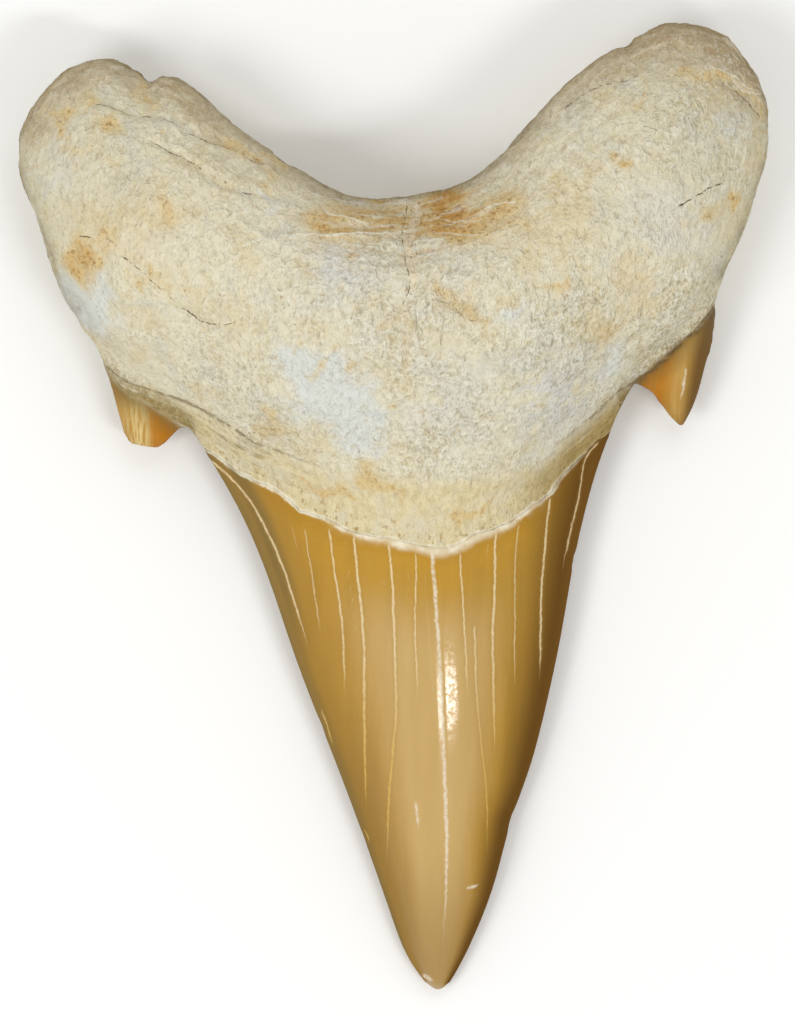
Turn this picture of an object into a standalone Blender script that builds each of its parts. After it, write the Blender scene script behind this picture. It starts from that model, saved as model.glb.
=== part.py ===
"""A fossil shark tooth, lying on its flat labial face with the domed lingual face up.

It is one natural piece: a thick bony root with two lobes, a smooth dental band, an enamel crown
with two cutting edges, and a small side cusplet at each shoulder. +X runs across the tooth, +Y from
the crown's tip to the root, and +Z up. The origin is under the middle of its box, on the surface
that it rests on. All sizes here are in millimetres; the mesh is made in metres at the end.

The body is a box of quads pulled onto the tooth: its top is the lingual face, its bottom the labial
face, and its four narrow sides are the cutting edges, the root's flanks and the root's basal wall.
"""

import math

import bmesh
import bpy
import numpy as np
from mathutils import Vector, geometry, noise

METRES = 0.001

# The plan outline, from the crown's tip up each side to the lobe's end, and over the root between.
TIP = [(2.5, -37.4), (3.5, -38.0), (4.4, -37.4)]
LEFT_CUTTING_EDGE = [
    (2.5, -37.4), (1.0, -35.3), (-0.7, -30.6), (-2.9, -24.4), (-5.3, -18.1),
    (-7.7, -11.9), (-9.8, -5.6), (-11.7, -0.9), (-13.5, 2.4), (-15.0, 4.8),
]
LEFT_FLANK = [
    (-15.0, 4.8), (-16.5, 6.9), (-19.4, 9.3), (-22.7, 12.1), (-24.7, 14.5), (-26.4, 17.6),
    (-27.4, 21.0), (-28.4, 23.8), (-29.3, 27.0), (-28.9, 29.9), (-27.6, 32.3), (-25.6, 34.2),
]
RIGHT_CUTTING_EDGE = [
    (4.4, -37.4), (5.6, -35.3), (7.6, -30.6), (8.5, -27.5), (9.1, -24.6), (10.5, -21.3),
    (12.1, -15.0), (13.4, -8.75), (13.9, -5.2), (14.5, -2.5), (15.5, 1.8), (17.0, 6.0),
]
RIGHT_FLANK = [
    (17.0, 6.0), (17.8, 8.1), (19.1, 10.2), (22.2, 12.9), (25.0, 16.2), (26.6, 20.2),
    (28.2, 24.2), (29.1, 28.0), (29.2, 31.2), (28.2, 34.2), (26.2, 36.7),
]
BASAL_LEFT = [
    (-25.6, 34.2), (-22.5, 35.1), (-20.7, 34.7), (-19.0, 33.4), (-17.6, 33.8), (-16.0, 32.9),
    (-13.0, 30.3), (-8.7, 27.2), (-4.9, 24.8), (-1.6, 24.1),
]
BASAL_MIDDLE = (1.5, 24.4)
BASAL_RIGHT = [
    (3.9, 24.8), (6.4, 25.9), (9.8, 28.8), (13.0, 32.5), (15.2, 34.8), (16.6, 35.7),
    (18.2, 36.4), (20.2, 37.8), (23.4, 37.8), (26.2, 36.7),
]

# Where the enamel ends, on each face, and where the root's rough bone begins on the lingual face.
LINGUAL_ENAMEL_LEFT = [(-15.0, 4.8), (-11.7, 2.5), (-9.6, 1.6), (-7.3, 0.0), (-4.9, -1.1), (-2.6, -2.0), (0.5, -2.5)]
LINGUAL_ENAMEL_MIDDLE = (3.2, -3.1)
LINGUAL_ENAMEL_RIGHT = [(4.9, -2.9), (6.8, -1.9), (9.1, -1.0), (11.9, 0.9), (14.2, 3.6), (17.0, 6.0)]
LABIAL_ENAMEL_LEFT = [(-15.0, 4.8), (-13.4, 7.2), (-9.0, 8.4), (-4.0, 7.4)]
LABIAL_ENAMEL_MIDDLE = (1.6, 6.9)
LABIAL_ENAMEL_RIGHT = [(7.0, 7.9), (12.0, 9.6), (15.6, 9.0), (17.0, 6.0)]
BONE_EDGE = [
    (-23.5, 12.2), (-20.0, 10.2), (-16.3, 8.4), (-12.0, 5.8), (-8.0, 4.1), (-5.0, 3.1), (0.0, 2.5),
    (4.0, 2.3), (8.0, 2.9), (10.7, 3.5), (12.5, 4.8), (14.6, 6.5), (18.0, 9.4), (24.5, 15.0),
]

# Heights over the surface it rests on, at named places. Smooth sheets pass through them.
LINGUAL_HEIGHTS = {  # along the crown's ridge, then the root's dome, its shoulders and its lobes
    (3.5, -38.0): 1.9, (3.7, -33.5): 4.2, (3.6, -27.0): 6.7, (3.5, -19.0): 8.8, (3.3, -11.0): 10.4,
    (3.0, -3.5): 11.6, (2.4, 1.0): 12.5, (-9.0, 3.6): 10.6, (11.5, 3.6): 10.6,
    (1.8, 5.5): 14.2, (1.5, 9.5): 17.2, (1.3, 13.5): 19.4, (1.3, 17.5): 19.2, (1.5, 22.0): 17.0,
    (-9.0, 9.5): 15.8, (-12.5, 16.0): 16.9, (-19.5, 15.5): 15.4, (-20.0, 22.0): 15.4,
    (-15.0, 27.0): 14.6, (-22.5, 28.5): 13.8, (-24.5, 33.0): 12.2, (-14.5, 5.8): 8.6,
    (12.0, 10.0): 16.0, (15.5, 16.5): 17.1, (22.0, 17.5): 15.4, (21.5, 24.0): 15.6,
    (15.5, 29.0): 14.8, (23.0, 31.0): 14.0, (23.0, 36.0): 12.2, (16.5, 7.4): 8.8,
}
LABIAL_HEIGHTS = {  # the crown's flat face, the enamel's lower lip, and the root's hollow and lobes
    (3.5, -38.0): 0.25, (3.6, -34.0): -0.15, (3.6, -27.0): 0.25, (3.4, -19.0): 0.75,
    (3.0, -10.0): 0.85, (2.0, -1.0): 0.6, (1.6, 5.0): 0.45, (1.5, 10.5): 1.3, (1.5, 16.0): 2.1,
    (1.5, 22.0): 2.3, (-10.0, 6.0): 0.9, (12.0, 7.0): 0.9, (-11.0, 16.0): 1.2, (13.0, 17.0): 1.2,
    (-20.0, 17.0): 0.6, (21.0, 18.0): 0.6, (-20.5, 24.5): -0.2, (21.0, 25.5): -0.2,
    (-20.0, 31.0): 0.6, (20.0, 33.5): 0.6, (-26.0, 28.0): 0.7, (26.0, 30.0): 0.7,
}
RIM_HEIGHTS = {  # the cutting edges, the root's widest line round its flanks, and its basal wall
    (3.5, -38.0): 1.0, (-0.7, -30.6): 1.7, (7.6, -30.6): 1.7, (-5.3, -18.1): 2.4, (11.3, -18.1): 2.4,
    (-9.8, -5.6): 3.0, (13.9, -5.2): 3.0, (-15.0, 4.8): 3.5, (17.0, 6.0): 3.5,
    (-19.5, 9.3): 4.0, (22.0, 12.9): 4.0, (-26.4, 17.6): 5.6, (27.0, 21.0): 5.6,
    (-29.3, 27.0): 6.2, (29.2, 31.0): 6.2, (-25.6, 34.2): 6.0, (26.2, 36.7): 6.0,
    (-19.0, 33.5): 6.6, (18.2, 36.5): 6.6, (-8.7, 27.2): 7.4, (9.8, 28.8): 7.4, (1.5, 24.4): 7.8,
}

# How far in from the outline each face is still curving down to it.
ROOT_ROUNDING = 8.0
LABIAL_ROUNDING = 5.5
CROWN_ROUNDING = 0.97  # of the crown's half width
BLADE_SHARE = 0.07  # of that rounding: the thin blade along each cutting edge
BLADE_RISE = 0.06  # of the height above it
CROWN_ENDS = 1.5  # along Y, the crown's section turns into the root's over this stretch
ROOT_BEGINS = 8.5

# Relief
ENAMEL_STEP = 0.35
BAND_LENGTH = 5.0
BONE_LIP = 0.7
BONE_LIP_WIDTH = 6.0
LABIAL_LIP = 0.45
FURROW = [(1.6, 25.5), (1.3, 21.0), (1.5, 17.5), (1.1, 14.0)]  # the nutrient furrow, over the dome
FURROW_DEPTH = 0.9
FURROW_WIDTH = 1.5
LOBE_DENT = [(-19.0, 34.2), (-18.6, 32.2), (-18.2, 30.4)]
LOBE_DENT_DEPTH = 0.6
LOBE_DENT_WIDTH = 1.8
HOLLOW_PLACE = (-6.4, 8.0)  # a shallow smooth scar left of the dome
HOLLOW_DEPTH = 0.45
HOLLOW_WIDTH = 4.2
LUMPS = ((0.32, 7.5), (0.16, 3.2))  # amplitude and wavelength of the root's swells

# The cusplets: their two edges in plan from base to tip, then mid height and half thickness there.
CUSPLETS = (
    {
        "inner": [(-16.5, 6.9), (-17.5, 5.5), (-18.5, 4.75)],
        "outer": [(-22.7, 12.1), (-22.1, 9.4), (-21.3, 6.3), (-20.7, 5.15)],
        "middle": (3.9, 2.9), "half": (2.3, 1.15), "dome": 0.1,
    },
    {
        "inner": [(19.1, 10.2), (20.4, 9.0), (21.5, 7.4), (22.2, 6.75)],
        "outer": [(25.2, 16.2), (25.3, 14.6), (24.5, 11.4), (23.8, 8.6), (22.9, 6.8)],
        "middle": (3.9, 2.6), "half": (2.3, 0.55), "dome": 0.3,
    },
)
CUSPLET_RINGS = 6
CUSPLET_EDGE = 0.22  # half thickness of a cusplet's cutting edge
CUSPLET_COLUMNS = 2  # columns of each face, beside the side strip, that its base takes in
CUSPLET_FLARE = 0.3  # the share of its length over which it grows out of the shoulder

# The box of quads
COLUMNS = 36
STRIP = 4  # quads through the thickness, on every narrow side
MIDDLE_PINCH = 0.022  # radians: two more columns stand this close to the middle one
TIP_FIRST, TIP_LONGEST, CROWN_LONG = 0.16, 2.9, 37.0
BASAL_FIRST, BASAL_LONGEST, ROOT_LONG = 0.08, 2.0, 30.0
LINE_ROW = 0.35  # a row stands this close to each side of the enamel's edge

COLOURS = {  # Principled base colour, roughness
    "root_bone": ((0.66, 0.60, 0.46, 1.0), 0.85),
    "dental_band": ((0.58, 0.50, 0.32, 1.0), 0.6),
    "enamel": ((0.50, 0.31, 0.10, 1.0), 0.25),
}


class Line:
    """A smooth line through plan points, read by share of its length.

    Where a middle knot is given, share 0.5 falls on it.
    """

    def __init__(self, points, middle=None):
        knots = [Vector((x, y, 0.0)) for x, y in points]
        found = []
        for i, (a, b) in enumerate(zip(knots, knots[1:])):
            before, after = knots[max(i - 1, 0)], knots[min(i + 2, len(knots) - 1)]
            reach = (b - a).length / 3
            leave = a + (b - before).normalized() * reach
            arrive = b - (after - a).normalized() * reach
            found += geometry.interpolate_bezier(a, leave, arrive, b, 9)[:-1]
        found.append(knots[-1])
        self.points = np.array([p[:2] for p in found])
        steps = np.linalg.norm(np.diff(self.points, axis=0), axis=1)
        self.lengths = np.concatenate([[0.0], np.cumsum(steps)])
        self.lengths /= self.lengths[-1]
        self.middle = 0.5
        if middle is not None:
            self.middle = self.lengths[np.argmin(np.linalg.norm(self.points - middle, axis=1))]

    def at(self, share):
        along = np.interp(share, [0.0, 0.5, 1.0], [0.0, self.middle, 1.0])
        return np.stack([np.interp(along, self.lengths, self.points[:, i]) for i in (0, 1)], axis=-1)

    def distance(self, places):
        """How far each place is from the line."""
        a, b = self.points[:-1], self.points[1:]
        along = ((places[:, None] - a) * (b - a)).sum(2) / ((b - a) ** 2).sum(1)
        nearest = a + np.clip(along, 0, 1)[..., None] * (b - a)
        return np.linalg.norm(places[:, None] - nearest, axis=2).min(1)

    def height_over(self, places):
        """How far each place lies on the root's side of a line that runs from -X to +X."""
        y = np.interp(places[:, 0], self.points[:, 0], self.points[:, 1])
        return np.sign(places[:, 1] - y) * self.distance(places)


class Sheet:
    """A smooth sheet of heights through pegs: a thin plate, weighted by r squared log r."""

    def __init__(self, pegs):
        self.places = np.array(list(pegs))
        count = len(self.places)
        flat = np.hstack([np.ones((count, 1)), self.places])
        system = np.zeros((count + 3, count + 3))
        system[:count, :count] = self.bend(self.places) + 2.0 * np.eye(count)
        system[:count, count:] = flat
        system[count:, :count] = flat.T
        self.weights = np.linalg.solve(system, np.array([*pegs.values(), 0.0, 0.0, 0.0]))

    def bend(self, places):
        r = np.linalg.norm(places[:, None] - self.places, axis=2)
        return r * r * np.log(r + 1e-9)

    def at(self, places):
        flat = np.hstack([np.ones((len(places), 1)), places])
        return self.bend(places) @ self.weights[:-3] + flat @ self.weights[-3:]


def smooth(low, high, value):
    """0 below low, 1 above high, with no corner between."""
    t = np.clip((value - low) / (high - low), 0, 1)
    return t * t * (3 - 2 * t)


def middle_line(left, middle, right):
    return Line([*left, middle, *right], middle)


def patch(left, right, low, high, across, along):
    """Plan places in the four-sided patch between four lines."""
    u, v = across[:, None], along[:, None]
    sides = (1 - u) * left.at(along) + u * right.at(along)
    ends = (1 - v) * low.at(across) + v * high.at(across)
    corners = (1 - v) * ((1 - u) * low.at(0.0) + u * low.at(1.0)) + v * (
        (1 - u) * high.at(0.0) + u * high.at(1.0)
    )
    return sides + ends - corners


def edge_stations(length, first, longest):
    """Shares of the length, counted from a rounded edge, close together there and even further in."""
    found = [0.0]
    while found[-1] < length:
        found.append(found[-1] + min(first * (2 * len(found) - 1), longest))
    return np.array(found) / found[-1]


def column_angles(edge_angle):
    """The columns' angles round the section, from one side strip to the other."""
    even = np.linspace(edge_angle, math.pi - edge_angle, COLUMNS + 1)
    close = [math.pi / 2 - MIDDLE_PINCH, math.pi / 2 + MIDDLE_PINCH]
    return np.sort(np.concatenate([even, close]))


class Body:
    """The tooth without its cusplets."""

    def __init__(self):
        self.tip = Line(TIP, TIP[1])
        self.left_cut, self.right_cut = Line(LEFT_CUTTING_EDGE), Line(RIGHT_CUTTING_EDGE)
        self.left_flank, self.right_flank = Line(LEFT_FLANK), Line(RIGHT_FLANK)
        self.basal = middle_line(BASAL_LEFT, BASAL_MIDDLE, BASAL_RIGHT)
        self.lingual_enamel = middle_line(
            LINGUAL_ENAMEL_LEFT, LINGUAL_ENAMEL_MIDDLE, LINGUAL_ENAMEL_RIGHT
        )
        self.labial_enamel = middle_line(
            LABIAL_ENAMEL_LEFT, LABIAL_ENAMEL_MIDDLE, LABIAL_ENAMEL_RIGHT
        )
        self.bone_edge = Line(BONE_EDGE)
        self.outline = [
            self.tip, self.left_cut, self.right_cut, self.left_flank, self.right_flank, self.basal,
        ]
        self.lingual = Sheet(LINGUAL_HEIGHTS)
        self.labial = Sheet(LABIAL_HEIGHTS)
        self.rim = Sheet(RIM_HEIGHTS)

    def heights(self, places, side):
        """Height at each plan place: side is 1 on the lingual face, -1 on the labial, 0 at the rim."""
        inside = np.min([line.distance(places) for line in self.outline], axis=0)
        rim = self.rim.at(places)
        is_root = smooth(CROWN_ENDS, ROOT_BEGINS, places[:, 1])

        edges = [np.interp(places[:, 1], *cut.points.T[::-1]) for cut in (self.left_cut, self.right_cut)]
        half_width = np.maximum((edges[1] - edges[0]) / 2, 0.5) * CROWN_ROUNDING
        share = np.clip(inside / half_width, 0, 1)
        past_blade = np.clip((share - BLADE_SHARE) / (1 - BLADE_SHARE), 0, 1)
        blade = BLADE_RISE * np.clip(share / BLADE_SHARE, 0, 1)
        domed = blade + (1 - BLADE_RISE) * (1 - (1 - past_blade) ** 2) ** 0.58
        flat = 1 - (1 - share) ** 2.2

        def round_over(distance):
            return np.sqrt(1 - (1 - np.clip(inside / distance, 0, 1)) ** 2)

        up = (1 - is_root) * domed + is_root * round_over(ROOT_ROUNDING)
        down = (1 - is_root) * flat + is_root * round_over(LABIAL_ROUNDING)
        lingual = rim + (self.lingual.at(places) + self.lingual_relief(places) - rim) * up
        labial = rim + (self.labial.at(places) + self.labial_relief(places) - rim) * down
        return np.where(side > 0, lingual, np.where(side < 0, labial, rim))

    def lingual_relief(self, places):
        """The enamel's edge, the band below the root, and the root's furrow, dent and scar."""
        past_enamel = self.lingual_enamel.height_over(places)
        past_bone = self.bone_edge.height_over(places)
        band = -ENAMEL_STEP * smooth(-0.3, 0.25, past_enamel) * (1 - smooth(0, BAND_LENGTH, past_enamel))
        at_sides = smooth(3.0, 12.0, np.abs(places[:, 0] - LINGUAL_ENAMEL_MIDDLE[0]))
        lip = BONE_LIP * at_sides * smooth(-0.4, 1.1, past_bone) * (1 - smooth(1.1, BONE_LIP_WIDTH, past_bone))
        furrow = FURROW_DEPTH * (1 - smooth(0, FURROW_WIDTH, Line(FURROW).distance(places)))
        dent = LOBE_DENT_DEPTH * (1 - smooth(0, LOBE_DENT_WIDTH, Line(LOBE_DENT).distance(places)))
        from_hollow = np.linalg.norm(places - HOLLOW_PLACE, axis=1)
        hollow = HOLLOW_DEPTH * (1 - smooth(0, HOLLOW_WIDTH, from_hollow))
        return band + lip - furrow - dent - hollow

    def labial_relief(self, places):
        """The enamel stands a little proud of the root: it reaches lower as the tooth lies."""
        past = self.labial_enamel.height_over(places)
        return -LABIAL_LIP * (1 - smooth(-0.2, 0.9, past)) * smooth(-7.0, -0.2, past)

    def face_kind(self, place, lingual):
        """Which of the tooth's three surfaces a face is, by its middle."""
        places = np.array([place])
        if lingual:
            if self.lingual_enamel.height_over(places)[0] < 0:
                return "enamel"
            return "root_bone" if self.bone_edge.height_over(places)[0] > 0 else "dental_band"
        return "enamel" if self.labial_enamel.height_over(places)[0] < 0 else "root_bone"


def box_keys(columns, rows):
    """Every (column, row, layer) on the surface of the box."""
    for i in range(columns + 1):
        for j in range(rows + 1):
            for k in range(STRIP + 1):
                if i in (0, columns) or j in (0, rows) or k in (0, STRIP):
                    yield i, j, k


def box_quads(columns, rows):
    """The box's quads, each as four keys, with their faces outwards."""
    for i in range(columns):
        for j in range(rows):
            yield (i, j, STRIP), (i + 1, j, STRIP), (i + 1, j + 1, STRIP), (i, j + 1, STRIP)
            yield (i, j, 0), (i, j + 1, 0), (i + 1, j + 1, 0), (i + 1, j, 0)
    for k in range(STRIP):
        for j in range(rows):
            yield (0, j, k), (0, j, k + 1), (0, j + 1, k + 1), (0, j + 1, k)
            yield (columns, j, k), (columns, j + 1, k), (columns, j + 1, k + 1), (columns, j, k + 1)
        for i in range(columns):
            yield (i, 0, k), (i + 1, 0, k), (i + 1, 0, k + 1), (i, 0, k + 1)
            yield (i, rows, k), (i, rows, k + 1), (i + 1, rows, k + 1), (i + 1, rows, k)


def body_places(body):
    """The box's keys, their places in millimetres, and the counts of columns and rows."""
    from_tip = edge_stations(CROWN_LONG, TIP_FIRST, TIP_LONGEST)
    from_basal = edge_stations(ROOT_LONG, BASAL_FIRST, BASAL_LONGEST)
    edge = STRIP // 2
    crown_rows = np.append(from_tip[edge:-1], [1 - LINE_ROW / CROWN_LONG, 1.0])
    root_rows = np.append([LINE_ROW / ROOT_LONG], 1 - from_basal[edge:-1][::-1])
    columns, rows = COLUMNS + 2, len(crown_rows) + len(root_rows) - 1
    step = math.pi / (COLUMNS + STRIP)

    keys = list(box_keys(columns, rows))
    i, j, k = np.array(keys).T
    from_rim = np.abs(k - edge)  # 0 on the rim, edge on the two faces
    angles = np.array([column_angles(step * e) for e in range(edge + 1)])
    across = (1 - np.cos(angles[from_rim, i])) / 2

    in_crown = j < len(crown_rows)
    crown_row = np.minimum(j, len(crown_rows) - 1)
    root_row = np.clip(j - len(crown_rows), 0, len(root_rows) - 1)
    tip_shift = (from_tip[from_rim] - from_tip[edge]) * np.exp(-j / 2.0)
    basal_shift = (from_basal[edge] - from_basal[from_rim]) * np.exp(-(rows - j) / 2.0)
    crown_share = crown_rows[crown_row] + tip_shift
    root_share = root_rows[root_row] + basal_shift

    plan = np.zeros((len(keys), 2))
    for lingual, line in ((True, body.lingual_enamel), (False, body.labial_enamel)):
        here = (k > edge) if lingual else (k <= edge)
        c, r = here & in_crown, here & ~in_crown
        plan[c] = patch(body.left_cut, body.right_cut, body.tip, line, across[c], crown_share[c])
        plan[r] = patch(body.left_flank, body.right_flank, line, body.basal, across[r], root_share[r])
    z = body.heights(plan, k - edge)
    return keys, np.column_stack([plan, z]), columns, rows, len(crown_rows) - 1


def swell_root(bm, body):
    """The root's bone swells and dips along its own normals, and the enamel stays smooth."""
    bm.normal_update()
    places = np.array([v.co[:2] for v in bm.verts])
    heights = np.array([v.co.z for v in bm.verts])
    lingual = smooth(-0.5, 2.0, body.bone_edge.height_over(places))
    labial = smooth(0.5, 2.5, body.labial_enamel.height_over(places))
    share = np.where(heights > body.rim.at(places), lingual, labial)
    rough = [
        sum(size * noise.noise(v.co / wave) for size, wave in LUMPS) for v in bm.verts
    ]
    for v, amount, bump in zip(bm.verts, share, rough):
        v.co += v.normal * (float(amount) * bump)


def grow_cusplet(bm, layers, shape, faces):
    """Extrudes the shoulder's faces ring by ring into a small blade."""
    along_layer, round_layer = layers
    inner, outer = Line(shape["inner"]), Line(shape["outer"])
    for ring in range(1, CUSPLET_RINGS + 1):
        made = bmesh.ops.extrude_face_region(bm, geom=faces)["geom"]
        bmesh.ops.delete(bm, geom=faces, context="FACES")
        faces = [g for g in made if isinstance(g, bmesh.types.BMFace)]
        t = ring / CUSPLET_RINGS
        own = float(smooth(0, CUSPLET_FLARE, t))
        low, high = inner.at(t), outer.at(t)
        across = Vector((*(high - low), 0.0))
        forward = Vector((across.y, -across.x, 0.0)).normalized()
        if forward.y > 0:
            forward.negate()
        middle = np.interp(t, [0, 1], shape["middle"])
        half = np.interp(t, [0, 1], shape["half"])
        dome = shape["dome"] if ring == CUSPLET_RINGS else 0.0
        for v in {v for f in faces for v in f.verts}:
            a, b = v[along_layer], v[round_layer]
            lens = (1 - (2 * a - 1) ** 2) ** 0.7 if 0 < a < 1 else 0.0
            spread = own * a + (1 - own) * a
            place = Vector((*low, middle)) + across * spread
            place.z += b * (CUSPLET_EDGE + half * lens)
            place += forward * dome * lens * (1 - b * b)
            v.co = v.co.lerp(place, max(own, 0.55)) if ring == 1 else place
    return faces


def add_cusplets(bm, verts, layers, columns, rows, shoulder_row):
    """Finds each shoulder's faces on the side strip, and grows its cusplet from them."""
    for shape, side, turn in zip(CUSPLETS, (0, columns), (1, -1)):
        rim = {j: verts[side, j, STRIP // 2].co for j in range(shoulder_row, rows)}

        def nearest(point):
            return min(rim, key=lambda j: (rim[j].to_2d() - Vector(point)).length)

        first, last = nearest(shape["inner"][0]), nearest(shape["outer"][0])
        loop = [(side + turn * c, 0) for c in range(CUSPLET_COLUMNS, 0, -1)]
        loop += [(side, k) for k in range(STRIP + 1)]
        loop += [(side + turn * c, STRIP) for c in range(1, CUSPLET_COLUMNS + 1)]
        wanted = set()
        for j in range(first, last + 1):
            for n, (i, k) in enumerate(loop):
                vert = verts[i, j, k]
                vert[layers[0]] = (j - first) / (last - first)
                vert[layers[1]] = 2 * n / (len(loop) - 1) - 1
                wanted.add(vert)
        faces = [f for f in bm.faces if all(v in wanted for v in f.verts)]
        grow_cusplet(bm, layers, shape, faces)


def make_materials():
    made = {}
    for name, (colour, roughness) in COLOURS.items():
        material = bpy.data.materials.new(name)
        material.use_nodes = True
        shader = material.node_tree.nodes["Principled BSDF"]
        shader.inputs["Base Color"].default_value = colour
        shader.inputs["Roughness"].default_value = roughness
        material.diffuse_color = colour
        made[name] = material
    return made


def paint(bm, body, names):
    """Gives each face the material of the surface that it lies on."""
    for face in bm.faces:
        middle = face.calc_center_median()
        lingual = face.normal.z > -0.2
        face.material_index = names.index(body.face_kind(middle[:2], lingual))
        face.smooth = True


def settle(bm):
    """Centres the tooth on the origin, and wears flat the three places that it rests on."""
    places = np.array([v.co for v in bm.verts])
    middle = (places.max(0) + places.min(0)) / 2
    for v in bm.verts:
        v.co -= Vector((middle[0], middle[1], 0.0))
        v.co.z = max(v.co.z, 0.0)


def build_tooth():
    body = Body()
    keys, places, columns, rows, shoulder_row = body_places(body)
    bm = bmesh.new()
    layers = bm.verts.layers.float.new("along"), bm.verts.layers.float.new("round")
    verts = {key: bm.verts.new(place) for key, place in zip(keys, places)}
    for quad in box_quads(columns, rows):
        bm.faces.new([verts[key] for key in quad])
    swell_root(bm, body)
    add_cusplets(bm, verts, layers, columns, rows, shoulder_row)
    bm.normal_update()
    materials = make_materials()
    paint(bm, body, list(materials))
    settle(bm)
    bmesh.ops.scale(bm, vec=(METRES,) * 3, verts=bm.verts)

    mesh = bpy.data.meshes.new("tooth")
    bm.to_mesh(mesh)
    bm.free()
    for material in materials.values():
        mesh.materials.append(material)
    tooth = bpy.data.objects.new("tooth", mesh)
    bpy.context.scene.collection.objects.link(tooth)
    return tooth


for old in list(bpy.data.objects):
    bpy.data.objects.remove(old)
build_tooth()
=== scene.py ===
import math

import bpy
import numpy as np
from mathutils import Matrix, Vector, noise


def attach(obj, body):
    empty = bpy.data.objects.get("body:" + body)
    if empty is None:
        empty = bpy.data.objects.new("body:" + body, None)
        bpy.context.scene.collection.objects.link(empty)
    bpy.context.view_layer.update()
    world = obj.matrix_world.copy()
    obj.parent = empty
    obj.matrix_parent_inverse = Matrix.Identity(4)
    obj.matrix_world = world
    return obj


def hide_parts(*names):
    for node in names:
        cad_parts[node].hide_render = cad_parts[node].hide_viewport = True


mm = 0.001
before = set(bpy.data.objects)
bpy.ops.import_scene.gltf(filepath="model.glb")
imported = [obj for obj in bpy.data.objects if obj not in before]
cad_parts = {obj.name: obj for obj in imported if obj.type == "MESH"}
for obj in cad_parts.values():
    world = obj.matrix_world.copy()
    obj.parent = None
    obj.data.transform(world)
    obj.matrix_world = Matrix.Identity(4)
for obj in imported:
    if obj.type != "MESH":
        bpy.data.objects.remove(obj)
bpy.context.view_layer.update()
print("frame loaded")


# lines and places on the tooth, in mm in the frame, seen from above
toothLines = {
    "lingualEnamel": [  # where the enamel ends under the band, on the domed face
        (-15, 4.9), (-11.7, 2.6), (-9.6, 1.7), (-7.3, 0.1), (-4.9, -1), (-2.6, -1.9), (0.5, -2.4),
        (3.2, -3), (4.9, -2.8), (6.8, -1.8), (9.1, -0.9), (11.9, 1), (14.2, 3.7), (17, 6.1),
    ],
    "labialEnamel": [
        (-15, 4.9), (-13.4, 7.3), (-9, 8.5), (-4, 7.5), (1.6, 7),
        (7, 8), (12, 9.7), (15.6, 9.1), (17, 6.1),
    ],
    "boneEdge": [  # where the rough bone begins
        (-24.5, 13.2), (-22.5, 11.2), (-20.6, 9.9), (-17.8, 9), (-16.2, 8.5), (-14.7, 7.8), (-12.4, 6.4),
        (-10.2, 5.1), (-8, 4.3), (-5, 3.2), (0, 2.6), (4, 2.4), (8.4, 3), (10.7, 3.5), (11.9, 4.2),
        (13, 5.4), (15, 7), (16.2, 8.1), (17.7, 9.3), (19.3, 10.2), (23.2, 13.6), (25.6, 16.6),
    ],
    "basalEdge": [  # the root's far edge, over both lobes
        (-28.6, 30.6), (-27.6, 32.4), (-25.6, 34.3), (-22.5, 35.2), (-17.6, 33.8), (-13, 30.4),
        (-8.7, 27.3), (-4.9, 24.9), (1.5, 24.5), (6.4, 26), (9.8, 28.9), (13, 32.6), (16.6, 35.8),
        (20.2, 37.8), (23.4, 37.9), (26.2, 36.8), (28.2, 34.3),
    ],
    "leftCut": [
        (2.3, -37.3), (1, -35.2), (-0.7, -30.5), (-2.9, -24.3), (-5.3, -18),
        (-7.7, -11.8), (-9.8, -5.5), (-11.7, -0.8), (-13.5, 2.5), (-15, 4.9),
    ],
    "rightCut": [
        (4.4, -37.3), (5.6, -35.2), (7.6, -30.5), (9.1, -24.5), (10.5, -21.2), (12.1, -14.9),
        (13.4, -8.7), (14.5, -2.4), (15.5, 1.9), (17, 6.1),
    ],
    "leftShoulder": [(-15, 4.9), (-16.5, 6.6), (-19.2, 8.4), (-21.6, 10), (-24.7, 14.6)],
    "rightShoulder": [(17, 6.1), (17.8, 8.2), (19.1, 10.3), (22.2, 13), (25.2, 16.3), (26.6, 20.3)],
}

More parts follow.
